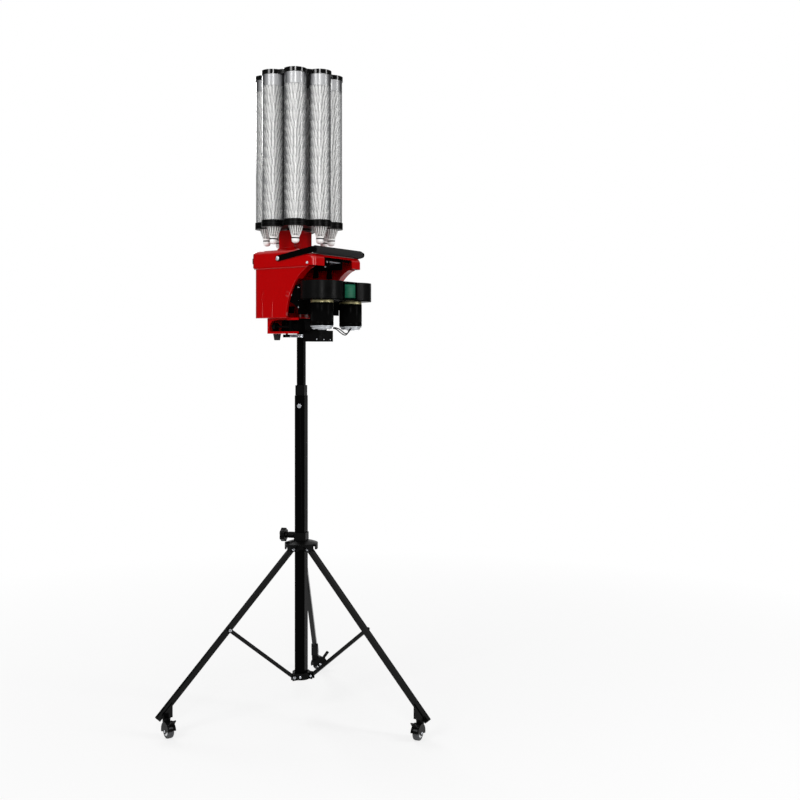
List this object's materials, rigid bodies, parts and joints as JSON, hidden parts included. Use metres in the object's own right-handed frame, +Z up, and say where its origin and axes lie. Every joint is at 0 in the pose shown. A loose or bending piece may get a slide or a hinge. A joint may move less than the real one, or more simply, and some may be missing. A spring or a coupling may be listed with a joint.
{
  "type": "badminton shuttlecock machine",
  "caption": "Shuttle launcher on a folding wheeled tripod: rotating tube magazine over a red housing, claw feeder, paired launch wheels, panning and tilting head.",
  "frame": {"origin": "middle of the footprint of the whole machine, on the floor", "axes": "+Z up along the mast, the machine throws toward -Y"},
  "size_m": [0.9224, 0.7962, 2.221],
  "materials": {
    "black_paint": "satin black powder coat",
    "black_plastic": "moulded black",
    "red_paint": "gloss red",
    "bright_steel": "bright",
    "black_rubber": "matt",
    "grey_tread": "matt",
    "foam": "black foam",
    "green_tread": "green polyurethane",
    "clear_tube": "clear",
    "feather": "white feather and cork"
  },
  "bodies": {
    "tripod": {"mast_outer": "black_paint", "mast_bottom_bracket": "black_plastic", "mast_top_collar": "black_plastic"},
    "lock_bolt": {"mast_lock_bolt": "bright_steel"},
    "head_mast": {"mast_inner": "black_paint", "pan_gear": "bright_steel"},
    "hub": {"hub_spreader": "black_plastic"},
    "clamp_knob": {"hub_knob": "black_plastic"},
    "head": {"head_base": "red_paint", "rear_foot_left": "black_rubber", "rear_foot_right": "black_rubber", "support_box": "black_plastic", "pan_motor": "black_plastic", "body_shell": "red_paint", "lid_hood": "red_paint", "neck_column": "red_paint", "power_module": "black_plastic", "feeder_channel": "black_paint"},
    "pinion": {"pan_pinion": "black_plastic"},
    "elevation": {"elevation_knob": "black_plastic"},
    "rocker": {"switch_rocker": "black_plastic"},
    "handle": {"handle_frame": "black_paint", "handle_grip": "foam"},
    "throwing_unit": {"throw_frame": "black_paint", "motor_left": "black_paint", "motor_right": "black_paint", "wheel_shroud_left": "black_plastic", "wheel_shroud_right": "black_plastic", "motor_lead_upper": "black_rubber", "motor_lead_lower": "black_rubber"},
    "wheel_left": {"launch_wheel_left": "green_tread"},
    "wheel_right": {"launch_wheel_right": "green_tread"},
    "claw": {"feeder_claw": "bright_steel"},
    "carousel": {"carousel_base": "black_plastic", "carousel_tubes": "clear_tube", "carousel_ring": "black_plastic", "shuttle_stack_1": "feather", "shuttle_stack_2": "feather", "shuttle_stack_3": "feather", "shuttle_stack_4": "feather", "shuttle_stack_5": "feather", "shuttle_stack_6": "feather", "shuttle_stack_7": "feather", "shuttle_stack_8": "feather"},
    "leg_1": {"leg_1": "black_paint"},
    "strut_1": {"strut_1": "black_paint"},
    "caster_1": {"caster_fork_1": "black_plastic"},
    "brake_1": {"caster_brake_1": "black_plastic"},
    "wheel_1": {"caster_wheel_1": "grey_tread"},
    "leg_2": {"leg_2": "black_paint"},
    "strut_2": {"strut_2": "black_paint"},
    "caster_2": {"caster_fork_2": "black_plastic"},
    "brake_2": {"caster_brake_2": "black_plastic"},
    "wheel_2": {"caster_wheel_2": "grey_tread"},
    "leg_3": {"leg_3": "black_paint"},
    "strut_3": {"strut_3": "black_paint"},
    "caster_3": {"caster_fork_3": "black_plastic"},
    "brake_3": {"caster_brake_3": "black_plastic"},
    "wheel_3": {"caster_wheel_3": "grey_tread"}
  },
  "joints": [
    {"name": "mast_height", "type": "slide", "parent": "tripod", "child": "head_mast", "axis": [0, 0, 1], "range_m": [-0.14, 0.28]},
    {"name": "lock_bolt_turn", "type": "hinge", "parent": "tripod", "child": "lock_bolt", "pos_m": [-0.00178, 0.11762, 1.072], "axis": [-0.9397, -0.342, 0], "continuous": true},
    {"name": "hub_fold", "type": "slide", "parent": "tripod", "child": "hub", "axis": [0, 0, 1], "range_m": [0, 0.1774]},
    {"name": "hub_knob_turn", "type": "hinge", "parent": "hub", "child": "clamp_knob", "pos_m": [-0.00178, 0.11762, 0.619], "axis": [-0.342, 0.9397, 0], "continuous": true},
    {"name": "leg_hinge_1", "type": "hinge", "parent": "hub", "child": "leg_1", "pos_m": [-0.00054, 0.08214, 0.574], "axis": [0.9994, 0.0349, 0], "range_deg": [0, 29]},
    {"name": "strut_hinge_1", "type": "hinge", "parent": "tripod", "child": "strut_1", "pos_m": [-0.00056, 0.08264, 0.131], "axis": [-0.9994, -0.0349, 0], "range_deg": [0, 34.61]},
    {"name": "caster_swivel_1", "type": "hinge", "parent": "leg_1", "child": "caster_1", "pos_m": [0.01497, -0.36209, 0.06], "axis": [0, 0, 1], "continuous": true},
    {"name": "caster_roll_1", "type": "hinge", "parent": "caster_1", "child": "wheel_1", "pos_m": [-0.00186, -0.36446, 0.024], "axis": [-0.1392, 0.9903, 0], "continuous": true},
    {"name": "brake_lever_1", "type": "hinge", "parent": "caster_1", "child": "brake_1", "pos_m": [-0.02068, -0.3671, 0.043], "axis": [0.1392, -0.9903, 0], "range_deg": [0, 30]},
    {"name": "leg_hinge_2", "type": "hinge", "parent": "hub", "child": "leg_2", "pos_m": [0.02832, 0.13643, 0.574], "axis": [-0.5299, 0.848, 0], "range_deg": [0, 29]},
    {"name": "strut_hinge_2", "type": "hinge", "parent": "tripod", "child": "strut_2", "pos_m": [0.0279, 0.13616, 0.131], "axis": [0.5299, -0.848, 0], "range_deg": [0, 34.61]},
    {"name": "caster_swivel_2", "type": "hinge", "parent": "leg_2", "child": "caster_2", "pos_m": [0.40528, 0.37198, 0.06], "axis": [0, 0, 1], "continuous": true},
    {"name": "caster_roll_2", "type": "hinge", "parent": "caster_2", "child": "wheel_2", "pos_m": [0.42056, 0.36452, 0.024], "axis": [-0.4384, -0.8988, 0], "continuous": true},
    {"name": "brake_lever_2", "type": "hinge", "parent": "caster_2", "child": "brake_2", "pos_m": [0.43764, 0.3562, 0.043], "axis": [0.4384, 0.8988, 0], "range_deg": [0, 30]},
    {"name": "leg_hinge_3", "type": "hinge", "parent": "hub", "child": "leg_3", "pos_m": [-0.03313, 0.13428, 0.574], "axis": [-0.4695, -0.8829, 0], "range_deg": [0, 29]},
    {"name": "strut_hinge_3", "type": "hinge", "parent": "tripod", "child": "strut_3", "pos_m": [-0.03268, 0.13405, 0.131], "axis": [0.4695, 0.8829, 0], "range_deg": [0, 34.61]},
    {"name": "caster_swivel_3", "type": "hinge", "parent": "leg_3", "child": "caster_3", "pos_m": [-0.4256, 0.34296, 0.06], "axis": [0, 0, 1], "continuous": true},
    {"name": "caster_roll_3", "type": "hinge", "parent": "caster_3", "child": "wheel_3", "pos_m": [-0.43169, 0.32709, 0.024], "axis": [-0.9336, 0.3584, 0], "continuous": true},
    {"name": "brake_lever_3", "type": "hinge", "parent": "caster_3", "child": "brake_3", "pos_m": [-0.4385, 0.30935, 0.043], "axis": [0.9336, -0.3584, 0], "range_deg": [0, 30]},
    {"name": "head_pan", "type": "hinge", "parent": "head_mast", "child": "head", "pos_m": [-0.00178, 0.11762, 1.33], "axis": [0, 0, 1], "range_deg": [-45, 45]},
    {"name": "pan_pinion_turn", "type": "hinge", "parent": "head", "child": "pinion", "pos_m": [-0.03309, 0.15698, 1.316], "axis": [0, 0, 1], "range_deg": [-145, 145]},
    {"name": "elevation_knob_turn", "type": "hinge", "parent": "head", "child": "elevation", "pos_m": [-0.08778, 0.11762, 1.347], "axis": [0, 1, 0], "continuous": true},
    {"name": "switch_rock", "type": "hinge", "parent": "head", "child": "rocker", "pos_m": [0.02022, 0.22792, 1.412], "axis": [1, 0, 0], "range_deg": [0, 7]},
    {"name": "handle_swing", "type": "hinge", "parent": "head", "child": "handle", "pos_m": [-0.00178, 0.10562, 1.577], "axis": [-1, 0, 0], "range_deg": [0, 24]},
    {"name": "throw_tilt", "type": "hinge", "parent": "head", "child": "throwing_unit", "pos_m": [-0.00178, 0.07262, 1.455], "axis": [1, 0, 0], "range_deg": [-7, 7]},
    {"name": "launch_spin_left", "type": "hinge", "parent": "throwing_unit", "child": "wheel_left", "pos_m": [-0.08378, -0.03538, 1.47], "axis": [0, 0, 1], "continuous": true},
    {"name": "launch_spin_right", "type": "hinge", "parent": "throwing_unit", "child": "wheel_right", "pos_m": [0.08022, -0.03538, 1.47], "axis": [0, 0, 1], "continuous": true},
    {"name": "claw_swing", "type": "hinge", "parent": "head", "child": "claw", "pos_m": [-0.00178, -0.02438, 1.567], "axis": [1, 0, 0], "range_deg": [0, 40]},
    {"name": "carousel_turn", "type": "hinge", "parent": "head", "child": "carousel", "pos_m": [-0.00178, 0.12762, 1.7], "axis": [0, 0, 1], "continuous": true}
  ],
  "couplings": [
    {"joint": "leg_hinge_1", "follows": "hub_fold", "rad_per_m": 2.8236},
    {"joint": "strut_hinge_1", "follows": "hub_fold", "rad_per_m": 3.3753},
    {"joint": "leg_hinge_2", "follows": "hub_fold", "rad_per_m": 2.8236},
    {"joint": "strut_hinge_2", "follows": "hub_fold", "rad_per_m": 3.3753},
    {"joint": "leg_hinge_3", "follows": "hub_fold", "rad_per_m": 2.8236},
    {"joint": "strut_hinge_3", "follows": "hub_fold", "rad_per_m": 3.3753},
    {"joint": "pan_pinion_turn", "follows": "head_pan", "ratio": 3.1667}
  ]
}
